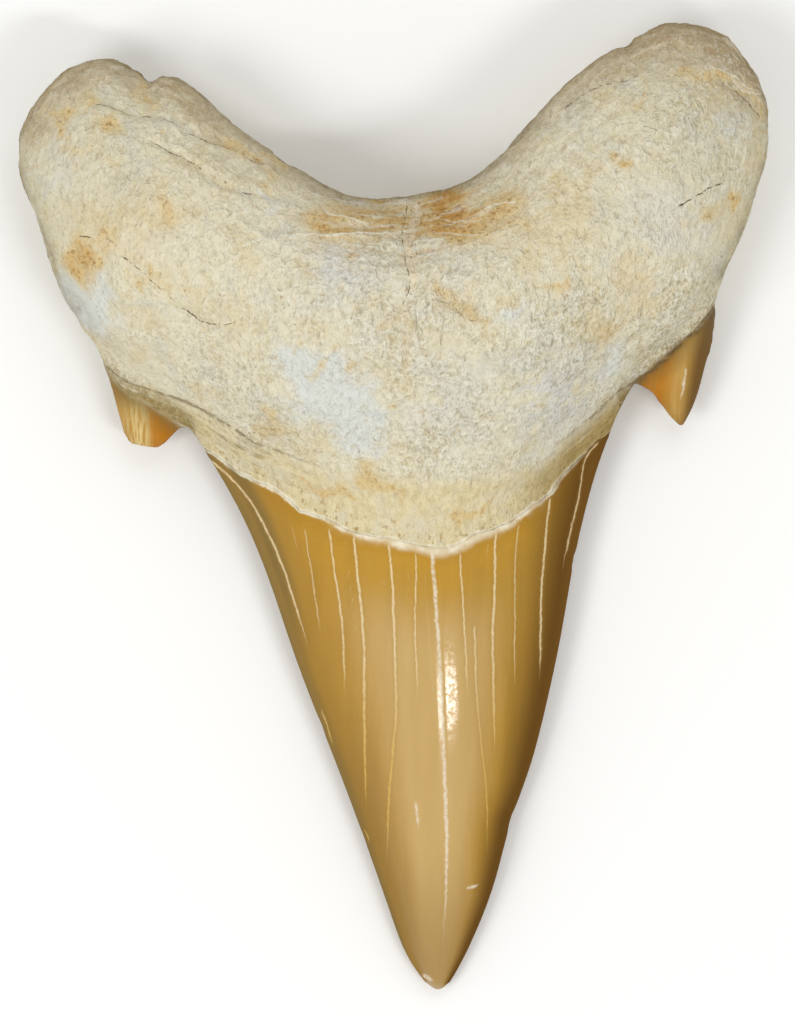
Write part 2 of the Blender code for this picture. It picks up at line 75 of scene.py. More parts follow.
crackLines = {  # the enamel's pale cracks: places, strength from 0 to 1
    "leftFlank": ([(-14.4, 3.9), (-11.6, 1.2), (-9.1, -3.4), (-7.3, -8.7), (-6.3, -12.2)], 0.9),
    "leftShort": ([(-8, -1), (-7.3, -3.6)], 0.3),
    "leftFaint": ([(-6.9, -1.4), (-6.5, -4), (-5.5, -10.5)], 0.5),
    "leftInner": ([(-4.9, -1.4), (-4.6, -4.6), (-4, -8.5), (-3.7, -15.5)], 0.8),
    "leftLong": ([(-3, -2), (-2.8, -4.8), (-2.3, -9.8), (-2.25, -15.9), (-2.1, -25.5)], 1),
    "middleLong": ([(-0.3, -2.6), (0, -7.1), (0.2, -13.4), (0.2, -16.4), (-0.3, -22.3), (-0.6, -30)], 0.9),
    "middleShort": ([(1.7, -3.3), (1.8, -4.8), (1.7, -9.1), (2, -16.6)], 0.6),
    "rightInner": ([(5.1, -3.2), (5.4, -6.9), (5.6, -10.5), (5.9, -16)], 0.65),
    "rightLow": ([(6.3, -8.8), (6.5, -14.3), (6.9, -18.7), (7.3, -22.3), (7.4, -29)], 0.6),
    "rightLong": ([(7.9, -1.6), (7.9, -5.9), (7.75, -10.2), (8, -21)], 0.95),
    "rightFaint": ([(9.7, -1), (9.5, -4.8), (9.5, -15.5)], 0.5),
    "rightFlank": ([(12.2, 1), (11.8, -4), (11.6, -6.5), (11.5, -14.6)], 0.9),
    "rightEdge": ([(16.2, 5.4), (15, 3.8), (14.6, 1.1), (13.8, -2.4), (13.2, -5.9)], 0.6),
    "leftNick": ([(-5.7, -15.6), (-5.2, -17), (-4.6, -18.9)], 0.6),
    "leftLowNick": ([(-2.3, -25), (-1.8, -26.4)], 0.6),
}
chipLines = {  # short white scratches and chips; three of them are painted highlights
    "tip": ([(2.2, -36.5), (2.7, -36.9), (3.3, -37.2)], 0.9),
    # painted highlight: a short glint
    "low": ([(5.6, -29.7), (6.3, -29.6), (6.8, -29.3)], 0.9),
    # painted highlight: a short glint below the middle
    "glintSmear": ([(1.7, -22.6), (1.9, -23.8), (2, -25.2)], 0.66),
    # painted highlight along the cusplet's ridge
    "rightCusplet": ([(22.9, 11.2), (22.7, 9.6), (22.5, 8)], 0.6),
}
veinLine = [(3, -3), (3.4, -8.7), (3.7, -13.4), (4, -20.4), (4.2, -26.6), (4.1, -30.5), (3.8, -37.2)]
underCracks = {  # the same on the flat face, which lies undermost
    "left": ([(-9.4, 7.6), (-8, 1), (-6.4, -7.4)], 0.7),
    "leftInner": ([(-4.6, 6.8), (-3.7, -3.5), (-2.6, -13.2)], 0.9),
    "middle": ([(0.3, 6.4), (0.9, -6), (1.6, -20), (2.2, -28)], 1),
    "right": ([(5.2, 7), (5, -5), (4.7, -16)], 0.8),
    "rightInner": ([(9.6, 8.2), (8.9, -1), (8.2, -11)], 0.9),
    "rightEdge": ([(13.2, 8.8), (12.2, 1), (11.5, -6)], 0.6),
}


def smoothLine(points, steps=6):  # a Catmull-Rom curve through given points
    p = np.array([points[0], *points, points[-1]], float)
    t = np.linspace(0, 1, steps, endpoint=False)[:, None]
    spans = []
    for a, b, c, d in zip(p, p[1:], p[2:], p[3:]):
        straight = 2 * b + (c - a) * t
        spans.append(0.5 * (straight + (2 * a - 5 * b + 4 * c - d) * t**2 + (3 * b - a - 3 * c + d) * t**3))
    return np.vstack([*spans, p[-1:]])


def measureLine(places, points, batch=20000):  # distance, side (1 on its left, else -1), and how far along
    line = smoothLine(points)
    a, run = line[:-1], np.diff(line, axis=0)
    lengths = np.linalg.norm(run, axis=1)
    starts = np.concatenate([[0.0], np.cumsum(lengths)[:-1]])
    distance, side, along = (np.zeros(len(places)) for _ in range(3))
    for first in range(0, len(places), batch):
        some = slice(first, first + batch)
        gap = places[some, None] - a
        share = np.clip((gap * run).sum(2) / lengths**2, 0, 1)
        off = gap - share[..., None] * run
        far = (off**2).sum(2)
        pick = np.argmin(far, axis=1)
        rows = np.arange(len(pick))
        distance[some] = np.sqrt(far[rows, pick])
        cross = run[pick, 0] * gap[rows, pick, 1] - run[pick, 1] * gap[rows, pick, 0]
        side[some] = np.where(cross < 0, -1.0, 1.0)
        along[some] = starts[pick] + share[rows, pick] * lengths[pick]
    return distance, side, along


def ease(low, high, value):  # 0 below low, 1 above high; the other way round where low is higher
    t = np.clip((value - low) / (high - low), 0, 1)
    return t * t * (3 - 2 * t)


def hump(value, middle, width):  # 1 at the middle, fading to both sides
    return np.exp(-(((value - middle) / width) ** 2))


def around(plan, place, radius):  # 1 at the place, 0 beyond the radius
    return 1 - ease(0.0, radius, np.linalg.norm(plan - place, axis=1))


# the tooth's mesh: the CAD solid, merged and made fine
toothMesh = {
    "mergeWithin": 0.001,  # mm
    "levels": 2,
    "finest": 0.36,  # mm: longer edges of the upper side are halved once more
}


def onlySelect(thing):
    bpy.ops.object.select_all(action="DESELECT")
    thing.select_set(True)
    bpy.context.view_layer.objects.active = thing


def editAll(thing, mode="VERT"):
    onlySelect(thing)
    bpy.ops.object.mode_set(mode="EDIT")
    bpy.ops.mesh.select_mode(type=mode)
    bpy.ops.mesh.select_all(action="SELECT")


def editSome(thing, mode, chosen):  # edit mode, with only the chosen vertices or edges selected
    editAll(thing, mode)
    bpy.ops.mesh.select_all(action="DESELECT")
    bpy.ops.object.mode_set(mode="OBJECT")
    parts = thing.data.vertices if mode == "VERT" else thing.data.edges
    parts.foreach_set("select", chosen)
    bpy.ops.object.mode_set(mode="EDIT")


def readVectors(source, name):
    found = np.empty(len(source) * 3, np.float32)
    source.foreach_get(name, found)
    return found.reshape(-1, 3).astype(float)


def readPlaces(thing):  # vertex places in mm
    return readVectors(thing.data.vertices, "co") / mm


def readNormals(thing):
    return readVectors(thing.data.vertex_normals, "vector")


def writePlaces(thing, places):
    thing.data.vertices.foreach_set("co", (places * mm).astype(np.float32).ravel())
    thing.data.update()


def copyTooth():
    tooth = bpy.data.objects.new("fossilTooth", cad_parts["tooth"].data.copy())
    bpy.context.scene.collection.objects.link(tooth)
    tooth.data.materials.clear()
    editAll(tooth)
    bpy.ops.mesh.remove_doubles(threshold=toothMesh["mergeWithin"] * mm)
    anyAngle = {"face_threshold": math.pi, "shape_threshold": math.pi}
    bpy.ops.mesh.tris_convert_to_quads(**anyAngle, topology_influence=1.0)
    bpy.ops.object.mode_set(mode="OBJECT")
    finer = tooth.modifiers.new("finer", "SUBSURF")
    finer.levels = finer.render_levels = toothMesh["levels"]
    bpy.ops.object.modifier_apply(modifier="finer")
    return tooth


def refineAbove(tooth):  # halves the long edges of the side that lies uppermost
    places, lingual = readPlaces(tooth), measureTooth(tooth)["lingual"] > 0.5
    ends = np.empty(len(tooth.data.edges) * 2, np.int32)
    tooth.data.edges.foreach_get("vertices", ends)
    ends = ends.reshape(-1, 2)
    lengths = np.linalg.norm(places[ends[:, 0]] - places[ends[:, 1]], axis=1)
    editSome(tooth, "EDGE", lingual[ends].all(1) & (lengths > toothMesh["finest"]))
    bpy.ops.mesh.subdivide(number_cuts=1)
    bpy.ops.object.mode_set(mode="OBJECT")


toothLimits = {
    "lingual": (-0.25, 0.05),  # the normal's height, from the flat face to the domed one
    "steep": (0.55, 0),  # the same, from sloping to upright
    "crown": (-15, 17),  # its ends along x, in mm
    "leftCusplet": (-15.5, 12.5),  # beyond this x and below this y
    "rightCusplet": (17.5, 17.8),
    "shoulder": (-0.5, 0.5),  # mm past its line, where a cusplet begins
    "clear": (-0.4, -1.6),  # and where the cusplets are left behind
    "far": 9,  # mm: stands for any great distance
}


def measureTooth(tooth):  # where each vertex is on the tooth
    places, normals = readPlaces(tooth), readNormals(tooth)
    plan = places[:, :2]
    x, y = plan.T
    far = toothLimits["far"]

    def signed(name):
        distance, side, along = measureLine(plan, toothLines[name])
        return distance * side, along

    lingual = ease(*toothLimits["lingual"], normals[:, 2])
    pastLingual, pastLabial = signed("lingualEnamel")[0], signed("labialEnamel")[0]
    beyond, below = toothLimits["leftCusplet"]
    leftOut = np.where((x < beyond) & (y < below), signed("leftShoulder")[0], -far)
    beyond, below = toothLimits["rightCusplet"]
    rightOut = np.where((x > beyond) & (y < below), -signed("rightShoulder")[0], -far)
    onCusplet = np.maximum(leftOut, rightOut)
    crownLeft, crownRight = toothLimits["crown"]
    past = np.where(lingual > 0.5, pastLingual, pastLabial)
    past = np.where((x < crownLeft) | (x > crownRight), far, past)
    fromBasal, along = signed("basalEdge")
    cuts = ("leftCut", "rightCut")
    left, right = (np.interp(y, *np.array(toothLines[name]).T[::-1]) for name in cuts)
    return {
        "lingual": lingual,
        "enamelEdge": np.minimum(past, 0.3 - onCusplet),
        "cusplet": ease(*toothLimits["shoulder"], onCusplet),
        "clear": ease(*toothLimits["clear"], onCusplet),
        "steep": ease(*toothLimits["steep"], np.abs(normals[:, 2])),
        "boneEdge": np.where(lingual > 0.5, signed("boneEdge")[0], pastLabial),
        "fromBasal": np.abs(fromBasal),
        "alongRoot": along,  # from the left lobe's end
        "across": (x - left) / (right - left),  # 0 on the crown's left edge, 1 on its right one
    }


crotchWelt = [(-11.7, 20), (-10.2, 20.5), (-7.5, 20.9), (-3.9, 21), (0.8, 21.2)]  # also a pale hair
boneRelief = {  # what a finger would feel, in mm
    "begins": (-0.25, 0.5),  # past the bone's edge
    "swell": ((0.15, 4.2), (0.09, 1.9)),  # height and wavelength
    "wrinkle": (0.1, 1.2),
    "fibre": (0.07, 0.8, 7),  # height, width and length
    "fibreTurns": (5, 11),  # from the root's edge: the fibres leave its line and run upright
    "pit": (0.18, 2.6),  # depth and spacing
    "pitted": (0.28, 0.55),  # of the noise
    "margin": (0.06, -0.1, 0.24),  # the line under the bone's lower edge: depth, place and width
    "fill": (0.34, -0.7, 0.8),  # how far the band swells to meet the bone: height, place and width
    "grooves": {  # places, depth, half width
        "furrow": ([(1.9, 24.4), (1.9, 23.4), (1.6, 21.6), (1.1, 20.2), (1.5, 18.9), (1.7, 17.7)], 0.16, 0.4),
        "furrowEnd": ([(1.7, 17.7), (1.1, 15.5), (0.5, 14.5), (1.1, 11), (0.9, 8.5)], 0.1, 0.35),
        "leftUpper": (
            [(-22.5, 31.6), (-19.8, 30.5), (-16.6, 30), (-15.1, 29.1), (-10.8, 27.5), (-7.3, 25.9)],
            0.2, 0.4,
        ),
        "leftLower": ([(-19.8, 28.7), (-16.6, 27.4), (-13.9, 25.3), (-11.6, 24.4), (-6.5, 23.8)], 0.22, 0.35),
        "leftDent": ([(-19, 33.8), (-18.6, 31.2)], 0.35, 0.7),
        "leftHair": (
            [(-20.5, 19.3), (-19, 17.9), (-15.9, 15.2), (-14.3, 14.1), (-13.1, 14.4), (-10.8, 14.4)],
            0.14, 0.22,
        ),
        "rightHair": ([(20.1, 22.4), (22.4, 23.8), (23.6, 24.5), (24.9, 25.1)], 0.14, 0.22),
        "rightStep": ([(24.6, 33.2), (26.4, 32.6), (27.8, 31.4), (28.6, 30.6), (29, 29.6)], 0.26, 0.4),
        "rightStreak": ([(18.5, 33.5), (19.2, 31), (19.7, 28.8)], 0.12, 0.45),
        "scar": ([(2.7, 17.3), (3.9, 16.1), (5.5, 15), (7, 14.2)], 0.38, 0.35),
    },
    "welts": {  # places, height, half width
        "crotchLong": (crotchWelt, 0.12, 0.25),
        "crotchUpper": ([(-5.7, 23.5), (-4.7, 22.7), (-3.2, 22.2), (-1.4, 21.9)], 0.12, 0.22),
        "crotchRight": ([(6.8, 23), (8.4, 23.4), (9.7, 23.6)], 0.1, 0.22),
        "rightLong": ([(13.6, 28), (16.2, 26.5), (17.7, 24.7)], 0.1, 0.25),
        "scarLip": ([(3.4, 17.4), (4.6, 16.3), (6.2, 15.3), (7.4, 14.8)], 0.12, 0.3),
    },
    "dents": {  # place, depth, radius, on both sides of the root
        "leftNotch": ((-18.9, 33.8), 0.6, 1),
        "rightNotch": ((18.2, 36.2), 0.3, 0.9),
        "leftFlank": ((-28, 23.4), 0.16, 2.2),
    },
    "hollows": {  # place, depth, radius
        "scar": ((5.4, 15.3), 0.32, 2.4),
        "leftScrape": ((-12, 17.5), 0.18, 2.6),
        "crotchLeft": ((-4.5, 21.5), 0.15, 2.4),
        "rightPitch": ((20.5, 17), 0.2, 3),
    },
}
enamelRelief = {  # in mm
    "edgeStep": 0.1,  # the enamel's edge stands this proud of the band
    "edgeTrough": 0.04,  # and the band dips by this before it
    "edgeWander": (0.25, 1.4),  # height and wavelength
    "bladeShare": (0.008, 0.14),  # of the crown's width, from each cutting edge
    "bladeBelow": 3,  # along y
    "bladeSmoothing": 12,
    "vein": (0.03, 0.3),  # depth and half width
    "crack": (0.02, 0.16),
    "ridge": 3.5,  # x: the nicks are pushed towards it
    "nicks": {  # places on the cutting edges, depth, radius
        "rightMiddle": ((9.1, -24.3), 0.14, 1.6),
        "rightUpper": ((13.9, -4), 0.16, 1.1),
        "leftMiddle": ((-5.6, -16.9), 0.06, 1.2),
        "leftLow": ((-2, -25.8), 0.06, 0.8),
    },
}


noiseSeeds = {"swell": 3.1, "wrinkle": 13.0, "shore": 9.0, "upright": 5.0, "pit": 21.0, "wander": 2.0}


def noiseAt(places, stretch, octaves=1, seed=0.0):  # stretch: wavelengths along x, y and z, or one for all
    scaled = places / np.array(stretch) + seed
    if octaves == 1:
        return np.array([noise.noise(Vector(p)) for p in scaled])
    return np.array([noise.fractal(Vector(p), 1.0, 2.1, octaves) for p in scaled])


def reliefOfBone(places, fields):
    edge, plan = fields["boneEdge"], places[:, :2]
    height = np.zeros(len(places))
    for number, (size, wave) in enumerate(boneRelief["swell"]):
        height += size * noiseAt(places, wave, seed=noiseSeeds["swell"] * number)
    size, wave = boneRelief["wrinkle"]
    height += size * (0.4 - 2.0 * np.abs(noiseAt(places, wave, octaves=2, seed=noiseSeeds["wrinkle"])))
    size, width, length = boneRelief["fibre"]
    flow = np.column_stack([fields["alongRoot"] / length, fields["fromBasal"] / width, places[:, 2] / length])
    nearBasal = 1 - ease(*boneRelief["fibreTurns"], fields["fromBasal"])
    height += size * nearBasal * noiseAt(flow, 1, seed=noiseSeeds["shore"])
    height += size * (1 - nearBasal) * noiseAt(places, (width, length, length), seed=noiseSeeds["upright"])
    size, wave = boneRelief["pit"]
    height -= size * ease(*boneRelief["pitted"], noiseAt(places, wave, seed=noiseSeeds["pit"]))
    up = ease(0.1, 0.5, fields["lingual"])
    for points, depth, half in boneRelief["grooves"].values():
        height -= up * depth * cutAlong(plan, points, half)
    for points, size, half in boneRelief["welts"].values():
        height += up * size * cutAlong(plan, points, half)
    for share, spots in ((up, "hollows"), (1.0, "dents")):
        for place, depth, radius in boneRelief[spots].values():
            height -= share * depth * around(plan, place, radius)
    size, middle, width = boneRelief["margin"]
    margin = size * nearSides(plan) * hump(edge, middle, width)
    size, middle, width = boneRelief["fill"]
    fill = size * (1 - fields["steep"]) * fields["clear"] * hump(edge, middle, width)
    return ease(*boneRelief["begins"], edge) * height + up * (fill - margin)


marginSides = {"least": 0.12, "reach": (7.0, 14.0), "middle": 3.0}  # a share, then mm from this x


def nearSides(plan):  # the line under the bone is deep at the sides and all but gone in the middle
    least = marginSides["least"]
    return least + (1 - least) * ease(*marginSides["reach"], np.abs(plan[:, 0] - marginSides["middle"]))


def nearLine(plan, points, reach):  # the places in a box around a line
    low, high = np.min(points, axis=0) - reach, np.max(points, axis=0) + reach
    return np.flatnonzero(((plan > low) & (plan < high)).all(1))


def cutAlong(plan, points, half):  # 1 in the bottom of a groove, fading at its sides and ends
    near = nearLine(plan, points, 2 * half)
    depth = np.zeros(len(plan))
    if len(near):
        distance, side, along = measureLine(plan[near], points)
        reach = along.max()
        ends = ease(-0.2, 1.2, along) * ease(reach + 0.2, reach - 1.2, along)
        depth[near] = ends * (1 - ease(0.1 * half, 1.6 * half, distance))
    return depth


def reliefOfEnamel(places, fields):
    size, wave = enamelRelief["edgeWander"]
    edge = fields["enamelEdge"] + size * noiseAt(places, wave, octaves=2, seed=noiseSeeds["wander"])
    up, across, plan = fields["lingual"], fields["across"], places[:, :2]
    crown = up * (1 - fields["cusplet"]) * ease(0.0, 0.1, across) * ease(1.0, 0.9, across)
    height = enamelRelief["edgeStep"] * crown * ease(0.15, -0.15, edge) * ease(-2.2, -0.5, edge)
    height -= enamelRelief["edgeTrough"] * crown * ease(-0.05, 0.2, edge) * ease(1.6, 0.3, edge)
    depth, half = enamelRelief["crack"]
    for points, strength in crackLines.values():
        height -= depth * strength * up * cutAlong(plan, points, half)
    depth, half = enamelRelief["vein"]
    return height - depth * up * cutAlong(plan, veinLine, half)


def softenBlade(tooth):  # lets the dome run out into the thin cutting edges
    across = measureTooth(tooth)["across"]
    places = readPlaces(tooth)
    fromEdge = np.minimum(across, 1 - across)
    least, most = enamelRelief["bladeShare"]
    near = (fromEdge > least) & (fromEdge < most) & (places[:, 1] < enamelRelief["bladeBelow"])
    editSome(tooth, "VERT", near)
    bpy.ops.mesh.vertices_smooth(factor=0.5, repeat=enamelRelief["bladeSmoothing"])
    bpy.ops.object.mode_set(mode="OBJECT")


def nickEdges(tooth):  # pushes the blade in, level with the ground, at its few old chips
    places = readPlaces(tooth)
    for place, depth, radius in enamelRelief["nicks"].values():
        inwards = np.sign(enamelRelief["ridge"] - place[0])
        places[:, 0] += inwards * depth * around(places[:, :2], place, radius)
    writePlaces(tooth, places)


stains = {  # golden and brown stains of the bone: place, radius, strength
    "crotchRight": ((4.6, 22.7), 2.5, 1.38),
    "crotchRightLow": ((6.2, 21.9), 2.2, 0.9),
    "crotchRightEnd": ((8.8, 22.9), 1.7, 0.4),
    "crotchLeft": ((-1.2, 21.9), 2.2, 0.98),
    "crotchFarLeft": ((-3.6, 21.7), 1.9, 0.84),
    "leftFlank": ((-23.9, 19.3), 2, 0.9),
    "leftFlankInner": ((-19.1, 18.1), 0.8, 0.8),
    "leftFlankTop": ((-22, 21), 1.8, 0.6),
    "leftFlankHigh": ((-23.7, 23.1), 1.2, 0.45),
    "leftMiddle": ((-18, 22.6), 1.9, 0.6),
    "leftWide": ((-21, 21.6), 5.5, 0.36),
    "leftLow": ((-15.6, 17.1), 1.2, 0.4),
    "leftLobe": ((-22, 30), 1.2, 0.7),
    "leftLobeTop": ((-23.8, 31.6), 0.8, 0.7),
    "leftLobeEdge": ((-25.8, 29.9), 1.1, 0.75),
    "leftLobeLow": ((-24.6, 28.1), 1, 0.5),
    "leftSlope": ((-9.1, 25.5), 1.2, 0.5),
    "rightSpot": ((17.1, 26.4), 0.6, 0.95),
    "rightSpotWest": ((15.1, 26), 1.6, 0.5),
    "rightInner": ((12.6, 24.3), 1.7, 0.5),
    "rightWide": ((14, 22.4), 5, 0.34),
    "middleSpot": ((12.1, 17.4), 0.65, 0.74),
    "rightLobe": ((24.8, 23.1), 1, 0.6),
    "rightLobeEast": ((26.2, 23.9), 0.7, 0.9),
    "rightEdge": ((27.4, 27.3), 1.1, 0.4),
    "rightLow": ((18.4, 17.5), 2.4, 0.5),
    "rightMargin": ((15.8, 13.6), 2, 0.55),
    "scarLow": ((5.6, 15.4), 1.4, 0.52),
    "domeLeft": ((-5.7, 17.3), 1.2, 0.4),
    "domeLow": ((-5.8, 11), 0.6, 0.68),
    "domeLowEast": ((-2.7, 10.4), 0.8, 0.54),
    "domeTop": ((0, 14.2), 0.9, 0.48),
    "rightTop": ((22.4, 35.2), 2.6, 0.22),
    "domeMiddle": ((-0.2, 7.7), 0.8, 0.6),
    "marginLeft": ((-9.4, 6.1), 1.3, 0.6),
}
stainLines = {  # the same along lines: places, half width, strength
    "crotch": ([(-5.4, 21.9), (-2.5, 21.8), (1.5, 22.2), (5, 22.3), (7.4, 22.2), (9, 22.8)], 1.9, 0.78),
    "rightStep": (
        [(22, 33.6), (24.4, 33.6), (26.4, 33.2), (27.6, 32.4), (28.4, 31.6), (28.9, 30.6)], 0.5, 0.62,
    ),
    "rightStreak": ([(19, 33.6), (19.2, 31)], 0.35, 0.5),
    "leftGroove": ([(-13.2, 28.3), (-11.4, 27.5), (-9.4, 26.4)], 0.5, 0.6),
    "leftNotch": ([(-19.4, 33.4), (-19, 31.6)], 0.7, 0.6),
    "leftHair": ([(-24.5, 20.6), (-21.8, 20.2), (-20.4, 19.2), (-19, 18), (-17.4, 16.8)], 0.6, 0.45),
    "bandLeft": ([(-2.6, 2.8), (-1.2, 2.2), (0.5, 1.5)], 0.7, 0.62),
    "bandFarLeft": ([(-6.8, 1.9), (-4.6, 1.2), (-2.6, 0.6)], 0.7, 0.6),
    "bandRight": ([(5, -0.6), (6.6, 0), (7.8, 0.6)], 0.6, 0.6),
    "furrow": ([(0.5, 15.6), (0.8, 13.4), (1.1, 11.4), (1.3, 9)], 0.7, 0.4),
    "scar": ([(2.7, 17.1), (4.2, 15.9), (5.6, 15), (7, 14.1)], 0.7, 0.58),
}
underStains = {  # the same on the face that lies undermost
    "middle": ((3, 16), 6, 0.55),
    "collarLeft": ((-7, 10.5), 3.2, 0.7),
    "collarRight": ((9, 11.5), 3.4, 0.7),
    "crotch": ((2, 23.5), 3.5, 0.8),
    "leftLobe": ((-21, 26), 4, 0.55),
    "rightLobe": ((22, 30), 4.5, 0.6),
    "rightFlank": ((21, 18), 2.5, 0.5),
}
chalkParts = {  # white and smoother: place, radius, strength
    "middle": ((-5, 8.8), 3.4, 1),
    "upper": ((-7.6, 11.2), 2.2, 0.85),
    "lower": ((-2.8, 5.8), 2.4, 0.85),
    "flank": ((-23.8, 16), 2.8, 0.95),
    "lobe": ((-26, 25.4), 1.6, 0.48),
    "upperMiddle": ((-9.6, 23.6), 1.8, 0.5),
    "right": ((17, 11.6), 2.4, 0.65),
    "rightHigh": ((26, 29.8), 2.5, 0.5),
    "scar": ((9.4, 14.6), 1.4, 0.55),
}
greyParts = {
    "leftOfFurrow": ((-3.4, 18.9), 3.6, 1),
    "rightOfFurrow": ((4, 19.4), 2.4, 0.6),
    "middle": ((-0.5, 14), 3.5, 0.4),
    "lowMiddle": ((4.5, 7.5), 3.5, 0.7),
    "lowRight": ((12.4, 8.6), 4, 1),
    "right": ((20.5, 22.5), 4, 0.6),
    "leftMargin": ((-14.5, 10.2), 2.2, 0.15),
}
roughParts = {  # where the bone's grain is coarsest
    "crotch": ((2, 22.8), 5, 1),
    "dome": ((1.5, 13), 8, 0.6),
    "low": ((3.5, 5), 5, 0.5),
    "rightLow": ((15.5, 12.8), 5.5, 0.9),
    "rightRim": ((27.2, 31.2), 4.6, 0.8),
    "leftMargin": ((-12, 8), 5, 0.6),
    "rightLip": ((20.2, 11.8), 2.6, 1),
    "rightLipHigh": ((23.6, 15.6), 2.6, 1),
}
darkHairs = {  # hair cracks: places, strength
    "left": ([(-20.9, 19.5), (-19, 17.9), (-17.3, 16.4), (-16.3, 15.5)], 0.66),
    "leftTail": ([(-16.4, 15.5), (-15.4, 14.8), (-14.4, 14.2), (-13.2, 14)], 0.92),
    "leftTailEast": ([(-13.2, 14), (-12.2, 14.2), (-11.2, 14.7)], 0.7),
    "leftSmall": ([(-24.4, 20.9), (-23.7, 21), (-22.9, 20.7)], 0.85),
    "leftSmallEast": ([(-22.4, 20.8), (-21.7, 20.6), (-20.8, 19.8)], 0.7),
    "dome": ([(-6.9, 12.2), (-6, 11.8), (-5.2, 11.5), (-4, 11), (-2.9, 11.2)], 0.6),
    "right": ([(21.2, 22.7), (22.4, 23.5), (23.6, 24.2), (24.9, 24.9), (25.8, 25.3)], 0.92),
    "grooveUpper": (
        [
            (-23.2, 31.4), (-21.9, 31.2), (-20.4, 30.5), (-18.5, 30.3), (-17.3, 30), (-15.6, 29.1),
            (-13, 28), (-10.1, 26.9), (-7.4, 25.2),
        ], 0.74,
    ),
    "grooveLower": (
        [
            (-19.2, 28.6), (-16.9, 27.5), (-15.3, 26.6), (-14.3, 25.9), (-13, 25.2), (-11.7, 24.4),
            (-9.4, 24),
        ], 0.68,
    ),
    "leftTick": ([(-20.2, 29), (-20.8, 27.6), (-21.2, 26.4)], 0.5),
    "leftMark": ([(-26.2, 30.2), (-25.4, 29.7), (-24.8, 29.6)], 0.6),
    "leftMarkInner": ([(-22.4, 30.6), (-22.2, 29.9), (-22.3, 29.3)], 0.55),
    "step": ([(26.4, 32.6), (27.1, 32), (27.8, 31.4), (28.4, 30.8), (28.8, 30)], 0.85),
    "scar": ([(2.7, 16.9), (3.3, 15.9), (4.3, 15.6), (5.5, 14.5), (7, 13.9)], 0.6),
    "scarUpper": ([(3.2, 17.4), (4.4, 17.2), (5.4, 16.4)], 0.4),
    "furrowLeft": ([(1.1, 24), (1, 22.6), (0.7, 21), (0.9, 19.4), (1.2, 17.9), (1.2, 16.6), (0.4, 15)], 0.72),
    "furrowRight": ([(2.6, 24), (2.2, 22.2), (1.7, 20.6), (1.8, 19.2), (2, 17.4)], 0.52),
    "upperRight": ([(13, 30.8), (15, 32.2), (17.6, 33), (19.6, 33.6)], 0.66),
    "rightFaint": ([(21.6, 27.7), (21.8, 26.6), (21.6, 25.7)], 0.5),
    "rightFaintEast": ([(23, 27.4), (23.5, 26.3), (23.9, 25.9)], 0.5),
    "rightTick": ([(18.4, 29.2), (19.6, 29.3), (20.6, 28.6)], 0.62),
    "rightTail": ([(20.1, 22.2), (20.6, 22.4), (21.2, 22.7)], 0.7),
}
paleHairs = {  # raised fibres
    "crotchLong": (crotchWelt, 0.8),
    "crotchUpper": ([(-5.7, 23.4), (-4.7, 22.7), (-3, 22.2), (-1.2, 21.6)], 0.65),
    "crotchRight": ([(6.8, 22.8), (8.2, 23.3), (9.7, 23.5)], 0.6),
    "crotchThin": ([(-6.6, 24.3), (-4.4, 23.9), (-1.8, 23.6)], 0.5),
    "crotchLow": ([(2.6, 21.3), (4.6, 21), (7.4, 21)], 0.5),
    "crotchMiddle": ([(2.8, 22.4), (5, 22.1), (7.2, 22.2)], 0.45),
    "rightLong": ([(13.6, 28), (16.2, 26.7), (17.2, 25.2), (18.4, 23.8)], 0.7),
    "leftHair": ([(-19.4, 17.6), (-17.5, 16), (-16.1, 14.8), (-14.5, 13.7)], 0.45),
    "stepLip": ([(24.4, 34.2), (26.6, 33.4), (27.8, 32.4), (28.9, 31.2)], 0.55),
}
furrowLine = [(1.9, 24.2), (1.7, 22.4), (1.2, 20.6), (1.4, 19.2), (1.6, 17.6), (1.4, 16.4)]
pittedLine = ([(4.2, -10.6), (4.5, -17.6)], 1.1, 1)  # the enamel is finely pitted along the vein here


ragged = {"reach": 1.5, "wave": 2.4, "seeds": (31.0, 57.0), "ofLines": 0.7}  # mm, mm, for x and y, a share


def straggle(places):  # how far each place is pushed, so that what is measured from it has ragged edges
    found = [noiseAt(places, ragged["wave"], octaves=3, seed=seed) for seed in ragged["seeds"]]
    return ragged["reach"] * np.column_stack(found)


def blobs(plan, spots):
    found = np.zeros(len(plan))
    for place, radius, strength in spots.values():
        away = np.linalg.norm(plan - place, axis=1)
        found = np.maximum(found, strength * hump(away, 0, radius))
    return found


def streaks(plan, lines):
    found = np.zeros(len(plan))
    for points, half, strength in lines.values():
        distance = measureLine(plan, points)[0]
        found = np.maximum(found, strength * hump(distance, 0, half))
    return found


def lineFields(plan, lines, fade, reach=0.75):  # mm to the nearest line, negative on its right; its strength
    offset, strength = np.full(len(plan), reach), np.zeros(len(plan))
    for points, own in lines:
        near = nearLine(plan, points, reach)
        distance, side, along = measureLine(plan[near], points)
        closer = distance < np.abs(offset[near])
        near, distance, side, along = near[closer], distance[closer], side[closer], along[closer]
        offset[near] = distance * side
        length = along.max()
        ends = ease(0.0, 0.4, along) * ease(length, length * fade, along)
        strength[near] = own * ends * ease(reach, reach * 0.6, distance)
    return offset, strength


cuspletParts = {  # in mm
    "middle": ((6, 12, 17), (22.3, 23.2, 24.6)),  # y, and the x of the right one's middle there
    "deep": (-0.5, 0.9),  # from that middle outwards
    "orange": (-0.6, -2),
    "leftOrange": (-19.4, -18.6),  # x
    "pale": (-0.3, 0.8),  # the middle of the pale streak, and its width
    "leftPale": (-19.9, 1.1),
}


